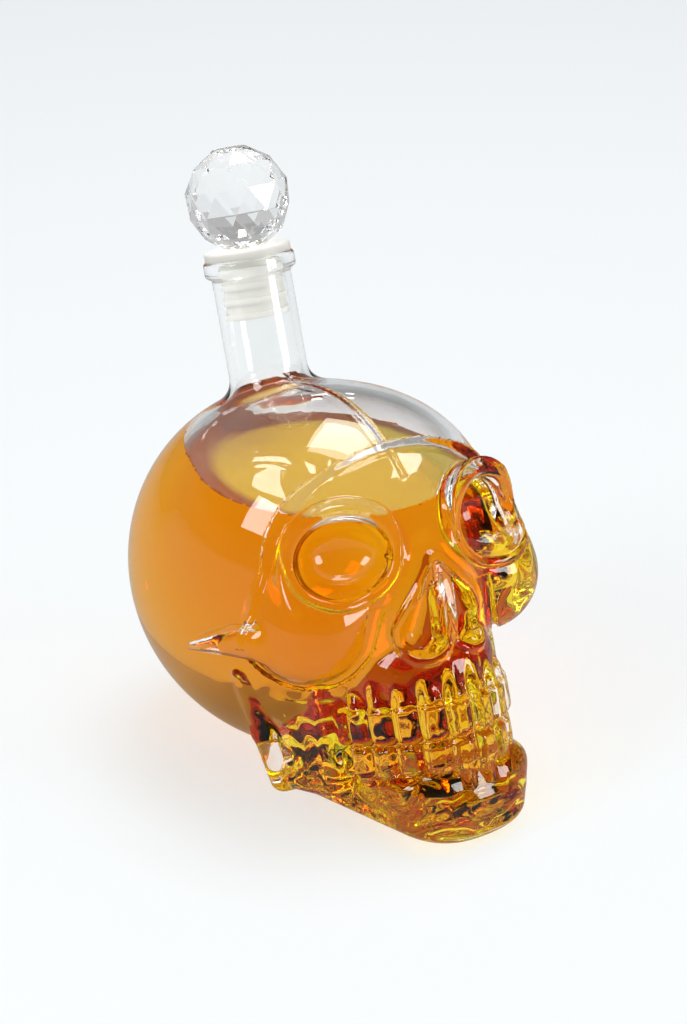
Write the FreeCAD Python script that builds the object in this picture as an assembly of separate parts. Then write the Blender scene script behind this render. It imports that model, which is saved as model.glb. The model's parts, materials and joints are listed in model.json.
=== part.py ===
"""Figural liquor decanter: a moulded glass skull that leans back on its jaw, with its liquor and stopper.

The skull is laid out upright, from the cranium's centre: x across, -y towards the face, z up.
The finished pieces then lean back together and stand on the floor, z = 0, with the face still towards -y.
"""

import math
import os

import FreeCAD
import Part

Vector = FreeCAD.Vector
X_AXIS = Vector(1, 0, 0)
Y_AXIS = Vector(0, 1, 0)
Z_AXIS = Vector(0, 0, 1)
SIDES = (1, -1)
HALF_TURN = 180.0

# Driving dimensions, in millimetres and degrees

# Stance
lean_angle = 17.0
pad_depth = 1.2

# Glass
wall = 3.5
base_thickness = 4.0
tooth_depth = 2.0

# Cranium and face, each half an ellipsoid's width, length or height
cranium_half_width = 49.5
cranium_half_length = 61.0
cranium_half_height = 53.0
face_half_width = 40.4
face_half_depth = 28.0
face_half_height = 36.4
face_forward = 30.0
face_rise = 4.0

# Cheekbones and the arches that run back from them
cheek_half_width = 16.0
cheek_half_depth = 20.0
cheek_half_height = 17.5
cheek_spread = 29.0
cheek_forward = 38.0
cheek_drop = 6.0
arch_half_width = 5.0
arch_half_length = 20.0
arch_half_height = 5.5
arch_spread = 45.0
arch_forward = 28.0
arch_drop = 9.3
arch_turn = 12.0

# Upper jaw and the two rows of teeth
maxilla_half_width = 23.5
maxilla_half_depth = 28.5
maxilla_half_height = 21.0
maxilla_forward = 38.0
maxilla_drop = 26.0
teeth_half_width = 26.8
teeth_reach = 36.8
teeth_centre_forward = 33.0
teeth_tail = 18.0
teeth_per_side = 7
tooth_bulge = 1.2
upper_teeth_height = 12.5
lower_teeth_height = 8.5
bite_drop = 42.0
bite_gap = 0.8

# Lower jaw, measured on the floor and up from it
jaw_reach = 83.5
jaw_back = 19.0
jaw_angle_half_width = 31.5
chin_half_width = 17.0
chin_round = 11.0
jaw_angle_round = 5.0
foot_inset = 5.0
foot_rise = 5.0
jaw_flare = 5.0
jaw_setback = 6.0
jaw_height = 30.0
chin_boss_half_width = 18.0
chin_boss_half_depth = 8.0
chin_boss_half_height = 8.5
chin_boss_forward = 60.0
chin_boss_drop = 61.0

# The jaw's rising branch: a round back edge in two runs, and a web in front of it
ramus_radius = 3.6
ramus_top_spread = 41.5
ramus_top_forward = 21.5
ramus_top_drop = 19.0
ramus_bend_spread = 33.5
ramus_bend_forward = 14.0
ramus_bend_drop = 38.0
ramus_foot_spread = 29.0
ramus_foot_forward = 12.5
ramus_foot_drop = 54.0
web_thickness = 9.0
web_length = 30.0
web_height = 34.0
web_spread = 26.5
web_forward = 26.0
web_drop = 40.0
web_round = 3.0

# Eye sockets and nose
socket_half_width = 13.6
socket_half_depth = 12.5
socket_half_height = 11.0
socket_spread = 23.4
socket_forward = 53.5
socket_rise = 11.2
socket_turn = 23.7
socket_tilt = 4.6
socket_shift = 3.0
cup_wall = 4.2
nose_ridge_half_width = 15.0
nose_ridge_half_depth = 15.0
nose_ridge_half_height = 21.0
nose_ridge_forward = 50.5
nose_ridge_drop = 7.0
nose_half_width = 13.4
nose_height = 25.4
nose_top_rise = 6.0
nose_depth = 8.0
septum_thickness = 2.4
septum_setback = 4.0

# Neck and lip
neck_back = 6.0
neck_diameter = 22.5
bore_diameter = 18.5
neck_sink = 5.0
neck_flare = 7.0
neck_joint_rise = 3.0
lip_height = 36.2
lip_diameter = 26.0
lip_band = 5.0
lip_round = 1.3

# Stopper
sleeve_length = 17.0
sleeve_groove = 0.7
sleeve_rib_width = 1.6
sleeve_rib_count = 4
flange_diameter = 24.6
flange_thickness = 2.6
flange_round = 0.9
ball_diameter = 30.0
ball_facets = 10
ball_flat_diameter = 12.2
tenon_diameter = 8.0
tenon_length = 12.0

# Liquor
liquor_level = 87.0

# Clearances and the overrun of cuts
sleeve_clearance = 0.05
tenon_clearance = 0.05
tenon_end_clearance = 0.5
liquor_clearance = 0.3
overrun = 10.0

# Shares, chosen by hand
nose_outline_shares = ((0.0, 0.0), (0.45, 0.36), (1.0, 0.76), (0.6, 1.0), (0.0, 0.92))
ball_ring_latitude_shares = (0.8, 0.47, 0.15, -0.16, -0.47)

# Worked out from the above
lean = math.radians(lean_angle)
cranium_drop = math.hypot(cranium_half_length * math.sin(lean), cranium_half_height * math.cos(lean))
stand_height = cranium_drop - pad_depth
cranium_reach = math.hypot(cranium_half_length * math.cos(lean), cranium_half_height * math.sin(lean))
centre_shift = (jaw_reach - cranium_reach) / 2
gum_drop = bite_drop + lower_teeth_height
nose_front = nose_ridge_forward + nose_ridge_half_depth
nose_floor = nose_front - nose_depth
nose_mouth = nose_front + overrun
septum_front = nose_front - septum_setback
neck_joint = cranium_half_height + neck_joint_rise
lip_top = cranium_half_height + lip_height
flange_top = lip_top + flange_thickness
ball_radius = ball_diameter / 2
ball_flat_radius = ball_flat_diameter / 2
ball_centre = flange_top + math.sqrt(ball_radius ** 2 - ball_flat_radius ** 2)
cut_size = 2 * (cranium_half_length + jaw_reach + lip_top + overrun)

# Where the upright skull goes when it leans back over the floor
stance = FreeCAD.Placement(Vector(0, 0, stand_height), FreeCAD.Rotation(X_AXIS, -lean_angle))
centring = FreeCAD.Placement(Vector(0, centre_shift, 0), FreeCAD.Rotation())


def ellipsoid(centre, radii, pole, seam, turn=0.0):
    """A closed ellipsoid of two halves, whose poles and seam point where nothing else meets it."""
    side = pole.cross(seam)
    columns = (seam, side, pole)
    rows = []
    for axis, radius in zip((X_AXIS, Y_AXIS, Z_AXIS), radii):
        rows += [radius * axis.dot(column) for column in columns] + [0]
    stretch = FreeCAD.Matrix(*rows, 0, 0, 0, 1)
    halves = []
    for start in (0, HALF_TURN):
        half = Part.makeSphere(1, Vector(), Z_AXIS, -HALF_TURN / 2, HALF_TURN / 2, HALF_TURN)
        half.rotate(Vector(), Z_AXIS, start)
        skin = [f for f in half.Faces if f.Surface.TypeId == "Part::GeomSphere"]
        halves += [f.transformGeometry(stretch) for f in skin]
    shape = Part.Solid(Part.Shell(halves))
    shape.Placement = FreeCAD.Placement(centre, FreeCAD.Rotation(Z_AXIS, turn))
    return shape


def fused(shapes):
    """One solid from shapes that overlap."""
    return shapes[0].multiFuse(shapes[1:])


def block_above(height):
    """Everything over a height, as a box."""
    corner = Vector(-cut_size / 2, -cut_size / 2, height)
    return Part.makeBox(cut_size, cut_size, cut_size, corner)


def off_floor(shape):
    """A shape laid out on the floor, as it lies in the upright skull."""
    return shape.transformed(stance.inverse().toMatrix())


def on_floor(shape):
    """A shape of the upright skull as it stands, centred over the origin."""
    return shape.transformed(centring.multiply(stance).toMatrix())


def cranium(inset):
    radii = [r - inset for r in (cranium_half_width, cranium_half_length, cranium_half_height)]
    return ellipsoid(Vector(), radii, X_AXIS, Y_AXIS)


def face(inset):
    radii = [r - inset for r in (face_half_width, face_half_depth, face_half_height)]
    return ellipsoid(Vector(0, -face_forward, face_rise), radii, Z_AXIS, Y_AXIS)


def cheek(side, inset):
    radii = [r - inset for r in (cheek_half_width, cheek_half_depth, cheek_half_height)]
    centre = Vector(side * cheek_spread, -cheek_forward, -cheek_drop)
    return ellipsoid(centre, radii, Y_AXIS, -side * X_AXIS)


def cheek_arch(side):
    radii = (arch_half_width, arch_half_length, arch_half_height)
    centre = Vector(side * arch_spread, -arch_forward, -arch_drop)
    return ellipsoid(centre, radii, Y_AXIS, -side * X_AXIS, -side * arch_turn)


def maxilla(inset):
    radii = [r - inset for r in (maxilla_half_width, maxilla_half_depth, maxilla_half_height)]
    return ellipsoid(Vector(0, -maxilla_forward, -maxilla_drop), radii, Z_AXIS, Y_AXIS)


def nose_ridge(inset):
    radii = [r - inset for r in (nose_ridge_half_width, nose_ridge_half_depth, nose_ridge_half_height)]
    return ellipsoid(Vector(0, -nose_ridge_forward, -nose_ridge_drop), radii, Z_AXIS, Y_AXIS)


def arch_point(turn, inset, height):
    """A point of the dental arch, a half ellipse: turn 0 is the front and a quarter turn either end."""
    across = (teeth_half_width - inset) * math.sin(turn)
    forward = teeth_centre_forward + (teeth_reach - inset) * math.cos(turn)
    return Vector(across, -forward, height)


def dental_arch(low, high, inset, bulge):
    """A slab of the dental arch between two heights, scalloped into teeth where bulge isn't zero."""
    step = math.pi / 2 / teeth_per_side
    turns = [i * step for i in range(-teeth_per_side, teeth_per_side + 1)]
    edges = []
    for start, end in zip(turns, turns[1:]):
        ends = [arch_point(turn, inset, low) for turn in (start, end)]
        middle = arch_point((start + end) / 2, inset - bulge, low)
        edges.append(Part.Arc(ends[0], middle, ends[1]).toShape())
    tail = Vector(0, teeth_tail, 0)
    right = arch_point(turns[0], inset, low)
    left = arch_point(turns[-1], inset, low)
    for start, end in ((left, left + tail), (left + tail, right + tail), (right + tail, right)):
        edges.append(Part.makeLine(start, end))
    outline = Part.Face(Part.Wire(Part.__sortEdges__(edges)))
    return outline.extrude(Vector(0, 0, high - low))


def jaw_section(height, reach, chin, angle, back):
    """A level outline of the lower jaw: a trapezium with round corners, symmetric about x = 0."""
    corners = [Vector(chin, -reach, height), Vector(angle, -back, height)]
    corners += [Vector(-angle, -back, height), Vector(-chin, -reach, height)]
    front_round = chin_round * chin / chin_half_width
    back_round = jaw_angle_round * angle / jaw_angle_half_width
    rounds = (front_round, back_round, back_round, front_round)
    edges = []
    starts = []
    for i, corner in enumerate(corners):
        before = (corners[i - 1] - corner).normalize()
        after = (corners[(i + 1) % len(corners)] - corner).normalize()
        half_angle = before.getAngle(after) / 2
        run = rounds[i] / math.tan(half_angle)
        bisector = (before + after).normalize()
        middle = corner + bisector * (rounds[i] / math.sin(half_angle) - rounds[i])
        edges.append(Part.Arc(corner + before * run, middle, corner + after * run).toShape())
        starts.append((corner + before * run, corner + after * run))
    for i, (_, leave) in enumerate(starts):
        arrive = starts[(i + 1) % len(starts)][0]
        edges.append(Part.makeLine(leave, arrive))
    return Part.Wire(Part.__sortEdges__(edges))


def jaw_block(inset, floor):
    """The lower jaw from the floor up to the gum, drawn in at the foot and round the teeth."""
    sections = []
    heights = (floor, floor + foot_rise, jaw_height)
    pulls = (foot_inset, 0, -jaw_flare)
    setbacks = (foot_inset, 0, jaw_setback)
    for height, pull, setback in zip(heights, pulls, setbacks):
        reach = jaw_reach - inset - setback
        chin = chin_half_width - inset - pull
        angle = jaw_angle_half_width - inset - pull
        sections.append(jaw_section(height, reach, chin, angle, jaw_back + inset))
    block = off_floor(Part.makeLoft(sections, True, True))
    corner = Vector(-cut_size / 2, -cut_size / 2, -gum_drop - inset - cut_size)
    return block.common(Part.makeBox(cut_size, cut_size, cut_size, corner))


def ramus(side):
    """The jaw's rising branch, from its angle up to the cheek arch."""
    foot = Vector(side * ramus_foot_spread, -ramus_foot_forward, -ramus_foot_drop)
    bend = Vector(side * ramus_bend_spread, -ramus_bend_forward, -ramus_bend_drop)
    top = Vector(side * ramus_top_spread, -ramus_top_forward, -ramus_top_drop)
    pieces = [Part.makeSphere(ramus_radius, point) for point in (foot, bend, top)]
    for start, end in ((foot, bend), (bend, top)):
        pieces.append(Part.makeCylinder(ramus_radius, (end - start).Length, start, end - start))
    corner = Vector(side * web_spread, -web_forward, -web_drop)
    corner -= Vector(web_thickness, web_length, web_height) / 2
    web = Part.makeBox(web_thickness, web_length, web_height, corner)
    pieces.append(web.makeFillet(web_round, web.Edges))
    return fused(pieces)


def chin_boss():
    radii = (chin_boss_half_width, chin_boss_half_depth, chin_boss_half_height)
    return ellipsoid(Vector(0, -chin_boss_forward, -chin_boss_drop), radii, X_AXIS, Y_AXIS)


def socket_facing(side):
    """The way an eye socket looks: forward, a little outward and up."""
    turn = math.radians(socket_turn)
    tilt = math.radians(socket_tilt)
    return Vector(side * math.sin(turn) * math.cos(tilt), -math.cos(turn) * math.cos(tilt), math.sin(tilt))


def socket_place(side):
    return Vector(side * socket_spread, -socket_forward, socket_rise)


def socket_cup(side):
    """The rim that stands out of the face round an eye, cut off level across its mouth."""
    radii = [r + cup_wall for r in (socket_half_width, socket_half_depth, socket_half_height)]
    cup = ellipsoid(socket_place(side), radii, Y_AXIS, -side * X_AXIS)
    facing = FreeCAD.Rotation(Z_AXIS, socket_facing(side))
    front = Part.makeBox(cut_size, cut_size, cut_size, Vector(-cut_size / 2, -cut_size / 2, 0))
    front.Placement = FreeCAD.Placement(socket_place(side), facing)
    return cup.cut(front)


def eye_socket(side, growth):
    radii = [r + growth for r in (socket_half_width, socket_half_depth, socket_half_height)]
    centre = socket_place(side) + socket_facing(side) * socket_shift
    return ellipsoid(centre, radii, Y_AXIS, -side * X_AXIS)


def nose_opening(growth):
    """The pear-shaped hollow of the nose, open to the front."""
    half_width = nose_half_width + growth
    height = nose_height + 2 * growth
    right = [(half_width * x, -height * z) for x, z in nose_outline_shares]
    outline = right + [(-x, z) for x, z in reversed(right[1:-1])]
    top = nose_top_rise + growth
    points = [Vector(x, -nose_mouth, top + z) for x, z in outline]
    curve = Part.BSplineCurve()
    curve.interpolate(Points=points, PeriodicFlag=True)
    depth = nose_mouth - nose_floor + growth
    return Part.Face(Part.Wire(curve.toShape())).extrude(Vector(0, depth, 0))


def septum():
    """The upright wall that parts the nose."""
    depth = septum_front - nose_floor + overrun
    corner = Vector(-septum_thickness / 2, -septum_front, nose_top_rise - nose_height - overrun)
    return Part.makeBox(septum_thickness, depth, nose_height + 2 * overrun, corner)


def neck():
    """The solid outside of the neck, with a flare into the cranium and a band round the lip."""
    radius = neck_diameter / 2
    root = cranium_half_height - neck_sink
    band = lip_diameter / 2
    stem = Part.makeCylinder(radius, lip_top - root, Vector(0, neck_back, root))
    flare = Part.makeCylinder(radius + neck_flare, neck_flare, Vector(0, neck_back, root))
    ring_centre = Vector(0, neck_back, root + neck_flare)
    flare = flare.cut(Part.makeTorus(radius + neck_flare, neck_flare, ring_centre))
    lip = Part.makeCylinder(band, lip_band, Vector(0, neck_back, lip_top - lip_band))
    rims = [edge for edge in lip.Edges if edge.Closed]
    lip = lip.makeFillet(lip_round, rims)
    return [stem, flare, lip]


def cavity(inset):
    """The hollow of the skull: the same forms, drawn in, with the sockets and the nose standing into it."""
    floor = base_thickness + inset - wall
    forms = [cranium(inset), face(inset), maxilla(inset), nose_ridge(inset), jaw_block(inset, floor)]
    forms += [cheek(side, inset) for side in SIDES]
    low = -gum_drop - inset
    high = -bite_drop + upper_teeth_height
    forms.append(dental_arch(low, high, inset + tooth_depth, 0))
    hollow = fused(forms)
    dents = [eye_socket(side, inset) for side in SIDES] + [nose_opening(inset)]
    hollow = hollow.cut(dents)
    return hollow.common(off_floor(block_above(floor)))


def skull():
    """The outside of the skull before it is hollowed."""
    forms = [cranium(0), face(0), maxilla(0), nose_ridge(0), jaw_block(0, 0), chin_boss()]
    for side in SIDES:
        forms += [socket_cup(side), cheek(side, 0), cheek_arch(side), ramus(side)]
    upper = -bite_drop + upper_teeth_height
    forms.append(dental_arch(-gum_drop - bite_gap, upper, tooth_depth, 0))
    forms.append(dental_arch(-bite_drop + bite_gap / 2, upper - bite_gap, 0, tooth_bulge))
    forms.append(dental_arch(-gum_drop, -bite_drop - bite_gap / 2, 0, tooth_bulge))
    forms += neck()
    outside = fused(forms)
    dents = [eye_socket(side, 0) for side in SIDES] + [nose_opening(0).cut(septum())]
    return outside.cut(dents)


def bore():
    return Part.makeCylinder(bore_diameter / 2, lip_top + overrun, Vector(0, neck_back, 0))


def glass_body():
    """The hollow skull, up to the level ring where the neck is joined."""
    hollow = cavity(wall).fuse(bore())
    outside = skull().common(off_floor(block_above(0)))
    return outside.cut(hollow).cut(block_above(neck_joint))


def glass_neck():
    """The neck and its lip, on the same ring."""
    return fused(neck()).cut(bore()).common(block_above(neck_joint))


def liquor():
    surface = off_floor(block_above(liquor_level))
    return cavity(wall + liquor_clearance).cut(surface)


def stopper_sleeve():
    """The plug that grips the bore: a flange on the lip, ribs below it and a socket for the ball's tenon."""
    rib = bore_diameter / 2 - sleeve_clearance
    groove = rib - sleeve_groove
    foot = lip_top - sleeve_length
    core = Part.makeCylinder(groove, sleeve_length, Vector(0, neck_back, foot))
    flange = Part.makeCylinder(flange_diameter / 2, flange_thickness, Vector(0, neck_back, lip_top))
    rims = [edge for edge in flange.Edges if edge.CenterOfMass.z > lip_top + flange_thickness / 2]
    rims = [edge for edge in rims if edge.Closed]
    flange = flange.makeFillet(flange_round, rims)
    pieces = [core, flange]
    pitch = sleeve_length / sleeve_rib_count
    for i in range(sleeve_rib_count):
        height = lip_top - (i + 1) * pitch
        pieces.append(Part.makeCylinder(rib, sleeve_rib_width, Vector(0, neck_back, height)))
    depth = tenon_length + tenon_end_clearance + overrun
    radius = tenon_diameter / 2 + tenon_clearance
    socket_floor = flange_top - tenon_length - tenon_end_clearance
    socket = Part.makeCylinder(radius, depth, Vector(0, neck_back, socket_floor))
    return fused(pieces).cut(socket)


def ball_ring(height_share, turn):
    """The corners of one ring of facets on the ball."""
    height = ball_radius * height_share
    radius = math.sqrt(ball_radius ** 2 - height ** 2)
    step = 2 * math.pi / ball_facets
    angles = [(i + turn) * step for i in range(ball_facets)]
    middle = Vector(0, neck_back, ball_centre + height)
    return [middle + Vector(radius * math.cos(a), radius * math.sin(a), 0) for a in angles]


def stopper_ball():
    """The crystal ball: rings of three-cornered facets between two flats, and a tenon below."""
    flat_share = (flange_top - ball_centre) / ball_radius
    shares = [math.sin(math.pi / 2 * share) for share in ball_ring_latitude_shares] + [flat_share]
    rings = [ball_ring(share, i / 2) for i, share in enumerate(shares)]
    facets = [rings[0], rings[-1]]
    for upper, lower in zip(rings, rings[1:]):
        for k in range(ball_facets):
            after = (k + 1) % ball_facets
            facets.append([upper[k], lower[k], upper[after]])
            facets.append([lower[k], lower[after], upper[after]])
    faces = [Part.Face(Part.makePolygon(corners + corners[:1])) for corners in facets]
    ball = Part.Solid(Part.Shell(faces))
    tenon_foot = Vector(0, neck_back, flange_top - tenon_length)
    tenon = Part.makeCylinder(tenon_diameter / 2, tenon_length, tenon_foot)
    return ball.fuse(tenon).removeSplitter()


def main():
    os.makedirs("parts", exist_ok=True)
    nodes = {
        "glass_body": glass_body,
        "glass_neck": glass_neck,
        "liquor": liquor,
        "stopper_sleeve": stopper_sleeve,
        "stopper_ball": stopper_ball,
    }
    for name, make in nodes.items():
        shape = on_floor(make())
        shape.exportStep(os.path.join("parts", name + ".step"))
        box = shape.optimalBoundingBox()
        print(name, len(shape.Solids), "solids", shape.isValid(), round(shape.Volume), "mm3", box)


main()
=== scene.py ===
"""Figural liquor decanter: a clear moulded-glass skull with amber liquor and a cut crystal stopper.

The skull is written as fields: functions of place that are below zero inside a form, zero on its skin and
above zero outside it. The glass, its hollow and the liquor come from one such description, so they fit.
"""

import itertools
import json
import math
from collections import namedtuple

import bpy
import numpy as np
from mathutils import Matrix, Vector


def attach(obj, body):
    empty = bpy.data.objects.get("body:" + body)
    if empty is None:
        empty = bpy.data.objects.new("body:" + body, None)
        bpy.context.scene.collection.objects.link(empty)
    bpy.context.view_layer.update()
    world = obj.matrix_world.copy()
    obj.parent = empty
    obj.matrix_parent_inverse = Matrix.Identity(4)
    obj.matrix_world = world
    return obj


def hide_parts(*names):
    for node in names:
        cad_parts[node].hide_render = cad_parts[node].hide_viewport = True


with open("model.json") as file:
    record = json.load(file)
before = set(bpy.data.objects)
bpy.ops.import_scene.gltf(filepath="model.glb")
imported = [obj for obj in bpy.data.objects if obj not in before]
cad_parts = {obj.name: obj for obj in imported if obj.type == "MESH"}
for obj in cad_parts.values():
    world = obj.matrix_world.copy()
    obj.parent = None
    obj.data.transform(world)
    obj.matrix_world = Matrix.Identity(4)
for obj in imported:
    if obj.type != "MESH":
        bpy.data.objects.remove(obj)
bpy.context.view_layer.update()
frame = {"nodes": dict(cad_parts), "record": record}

# Lengths down to the finishes are in millimetres. The skull is laid out upright from the cranium's centre:
# x across, -y towards the face, z up. It then leans back and stands on the floor, as the solids do.
# A name that ends in MELD or SOFT is the width over which two forms run together.
MM = 0.001
TINY = 1e-9
lift_axis = frame["record"]["behaviour"]["joints"][0]["axis"]
LEAN = math.atan2(lift_axis[1], lift_axis[2])
COS_LEAN = math.cos(LEAN)
SIN_LEAN = math.sin(LEAN)

# Cranium, forehead and the mould's seam over the crown. A form has its middle and its half sizes.
CRANIUM_AT = (0.0, 0.0, 0.0)
CRANIUM = (49.5, 61.0, 53.0)
FOREHEAD_AT = (0.0, -14.0, 10.5)
FOREHEAD = (47.0, 43.0, 41.5)
FOREHEAD_MELD = 3.0
SEAM_HALF_WIDTH = 0.4
SEAM_HEIGHT = 0.45
SEAM_LOW = 28.0
SEAM_BACK = 4.0
SEAM_SOFT = 0.6
SEAM_MELD = 0.8

# Face, cheeks and cheek arches
FACE_AT = (0.0, -30.0, 4.0)
FACE = (40.4, 28.0, 36.4)
FACE_MELD = 6.0
CHEEK_AT = (29.0, -38.0, -6.0)
CHEEK = (16.0, 20.0, 17.5)
ARCH_FRONT = (43.0, -37.0, -8.0)
ARCH_BACK = (49.8, -11.0, -10.0)
ARCH_RADII = (5.5, 1.2)
ARCH_MELD = 3.0

# Mask: the raised front of the head, with a bead along its edge that thickens towards the temples
MASK_FRONT = -48.0
MASK_SWEEP = 0.0052
MASK_STEP = 0.4
MASK_MELD = 0.4
SHIELD_MELD = 0.6
MASK_BEAD = 0.65
TEMPLE_BEAD = 1.3
TEMPLE_FROM = 22.0
TEMPLE_RUN = 10.0
BEAD_LOW = -9.0
BEAD_MELD = 0.5
CREASE_RADIUS = 1.3
CREASE_TOP = -4.0
CREASE_SOFT = 0.6
TEMPLE_SLIT_BACK = (49.0, -12.0, -7.2)
TEMPLE_SLIT_FRONT = (43.7, -37.5, -4.0)
TEMPLE_SLIT_RADII = (0.5, 1.6)

# Eye sockets: a cup that stands out of the face, with a bowl in it and a rim that is higher at the brow
SOCKET_AT = (23.4, -53.5, 11.2)
SOCKET_FACING = (0.40, -0.91, 0.08)
CUP_WALL = 4.2
CUP_SOFT = 2.0
BOWL = (13.6, 12.5, 11.0)
BOWL_FORWARD = 3.0
BOWL_SOFT = 1.6
SOCKET_RIM_WIDTH = 2.8
SOCKET_RIM_HEIGHT = 1.3
BROW_RIM_WIDTH = 2.8
BROW_RIM_HEIGHT = 1.2
SOCKET_RIM_SOFT = 0.8

# Nose: a ridge, and one pear-shaped opening with a septum set back in it
NOSE_RIDGE_AT = (0.0, -50.5, -7.0)
NOSE_RIDGE = (15.0, 15.0, 21.0)
NOSE_RIDGE_MELD = 3.0
NOSE_TOP = (0.0, -61.5, 4.0)
NOSTRIL_AT = (7.4, -62.5, -13.0)
NOSE_RADII = (1.8, 6.4)
SEPTUM_HALF = 1.2
SEPTUM_FRONT = -61.5
SEPTUM_SOFT = 1.2
NOSE_RIM_WIDTH = 2.4
NOSE_RIM_HEIGHT = 1.0
NOSE_RIM_SOFT = 1.0
NOSE_RIM_MELD = 0.8
NOSE_SOFT = 1.2

# Upper jaw and the gum that carries both rows of teeth
MAXILLA_AT = (0.0, -38.0, -26.0)
MAXILLA = (23.5, 28.5, 21.0)
MAXILLA_MELD = 1.0
GUM_INSET = 1.0
GUM_LOW = -52.0
GUM_HIGH = -29.5
GUM_ROUND = 3.0
GUM_MELD = 2.0

# Teeth, on a half ellipse that runs on a little past its ends
TEETH_HALF_WIDTH = 25.0
TEETH_REACH = 35.0
TEETH_CENTRE = -33.0
TEETH_PER_SIDE = 7
TEETH_RUN_ON = 1.05
TEETH_LOW = -62.0
TEETH_HIGH = -10.0
TEETH_BACK = -8.0
ARCH_POINTS = 400
Crown = namedtuple("Crown", "across_share back height width_share half_depth half_height rounding")
UPPER_CROWN = Crown(0.97, 1.4, -36.4, 0.96, 3.2, 5.5, 2.6)
LOWER_CROWN = Crown(0.95, 2.4, -46.6, 0.93, 3.0, 4.3, 2.2)
CROWN_MELD = 1.1
RootEnd = namedtuple("RootEnd", "across_share back height radius")
UPPER_ROOT = (RootEnd(0.96, 1.8, -30.5, 2.6), RootEnd(0.85, 4.6, -19.5, 1.4))
LOWER_ROOT = (RootEnd(0.94, 2.4, -49.5, 2.2), RootEnd(0.93, 1.6, -56.0, 1.2))
ROOT_MELD = 1.4

# Lower jaw, in the frame of the floor, with its chin and its rising branch. A steepness is how fast a
# slanting face's field grows straight away from it, rounded, and the field is divided by it.
JAW_REACH = 83.5
JAW_BACK = 19.0
JAW_ANGLE_HALF_WIDTH = 31.5
JAW_FLARE = 0.2
JAW_FLARE_STEEPNESS = 1.02
JAW_LEAN = 0.24
JAW_LEAN_STEEPNESS = 1.03
JAW_WIDEST = 5.0
JAW_TOP = -50.0
JAW_CORNER_SOFT = 12.0
JAW_BACK_SOFT = 7.0
JAW_TOP_SOFT = 8.0
JAW_MELD = 3.0
FOOT_INSET = 4.5
FOOT_STEEPNESS = 1.414
FOOT_SOFT = 1.5
CHIN_HALF_WIDTH = 17.0
CHIN_BOSS_AT = (0.0, -60.0, -61.0)
CHIN_BOSS = (18.0, 8.0, 8.5)
CHIN_MELD = 1.0
RAMUS_TOP = (41.5, -21.5, -19.0)
RAMUS_MIDDLE = (33.5, -14.0, -38.0)
RAMUS_FOOT = (29.0, -12.5, -54.0)
RAMUS_RADII = (3.0, 3.6, 4.0)
RAMUS_BEND_SOFT = 2.0
RAMUS_WEB_AT = (26.5, -26.0, -40.0)
RAMUS_WEB = (4.5, 15.0, 17.0)
RAMUS_WEB_ROUND = 4.0
RAMUS_MELD = 1.5

# Neck, lip and base
NECK_BACK = 6.0
NECK_LOW = 40.0
NECK_RADIUS = 11.25
NECK_SOFT = 1.0
NECK_MELD = 5.0
LIP_TOP = 89.2
LIP_RADIUS = 13.0
LIP_BAND = 5.0
LIP_ROUND = 1.3
LIP_MELD = 0.8
PAD_DEPTH = 1.2
BASE_SOFT = 3.0

# Hollow: the thickness of the glass round each form, and the waves on its inside round the jaws
WALL = 3.5
FACE_WALL = WALL + 0.3
CHEEK_WALL = WALL + 0.8
MAXILLA_WALL = WALL + 1.3
GUM_WALL = WALL + 3.0
JAW_WALL = WALL - 0.7
OPENING_WALL = WALL - 0.4
BASE_THICKNESS = 3.6
HOLLOW_MELD = 5.0
HOLLOW_GUM_LOW = -54.0
HOLLOW_OPENING_SOFT = 2.5
ARCH_HOLLOW_FRONT = (37.0, -39.0, -8.0)
ARCH_HOLLOW_BACK = (47.0, -14.0, -9.6)
ARCH_HOLLOW_RADII = (3.2, 0.4)
BORE_RADIUS = 9.25
BORE_LOW = 30.0
BORE_MELD = 9.0
GLASS_SOFT = 0.6
RIPPLE = 0.6
RIPPLE_LENGTH = 2.4
RIPPLE_RATES = (1.3, 1.1, 0.7, 1.7, 1.9)
RIPPLE_TOP = -11.0
RIPPLE_TOP_FADE = 10.0
RIPPLE_BACK = -6.0
RIPPLE_BACK_FADE = 12.0

# Liquor
LIQUOR_LEVEL = 87.0
LIQUOR_OVERLAP = 0.18
LIQUOR_SOFT = 0.3
LIQUOR_IOR = 1.36
GLASS_IOR = 1.51

# Meshing: a box round the skull, the grid's step and the share of faces kept
SKULL_LOW = (-54.0, -92.0, -78.0)
SKULL_HIGH = (54.0, 66.0, 94.0)
GLASS_STEP = 0.8
GLASS_KEPT = 0.465
LIQUOR_STEP = 1.1
LIQUOR_KEPT = 1.0
STRIDE = 4
NEAR_SKIN_SHARE = 1.2
NEAR_EDGE_SHARE = 0.55
SLOPE_REACH = 0.02
SETTLING_ROUNDS = 3
LEAST_SLOPE = 0.2
LARGEST_MOVE = 0.5
LEAST_CROSSING = 0.01
INNER_SKIN = 0.4
WALL_SKIN = 0.1

STAND_HEIGHT = math.hypot(CRANIUM[1] * SIN_LEAN, CRANIUM[2] * COS_LEAN) - PAD_DEPTH
CENTRE_SHIFT = (JAW_REACH - math.hypot(CRANIUM[1] * COS_LEAN, CRANIUM[2] * SIN_LEAN)) / 2
FACING = np.array(SOCKET_FACING) / np.linalg.norm(SOCKET_FACING)
CELL_CORNERS = np.array([(i, j, k) for i in (0, 1) for j in (0, 1) for k in (0, 1)])


def leaned_direction(n):
    """A direction of the upright skull in the part's frame."""
    x, y, z = n.T
    return np.stack([x, y * COS_LEAN + z * SIN_LEAN, z * COS_LEAN - y * SIN_LEAN], 1)


def leaned(p):
    """A point of the upright skull in the part's frame."""
    return leaned_direction(p) + np.array((0.0, CENTRE_SHIFT, STAND_HEIGHT))


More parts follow.
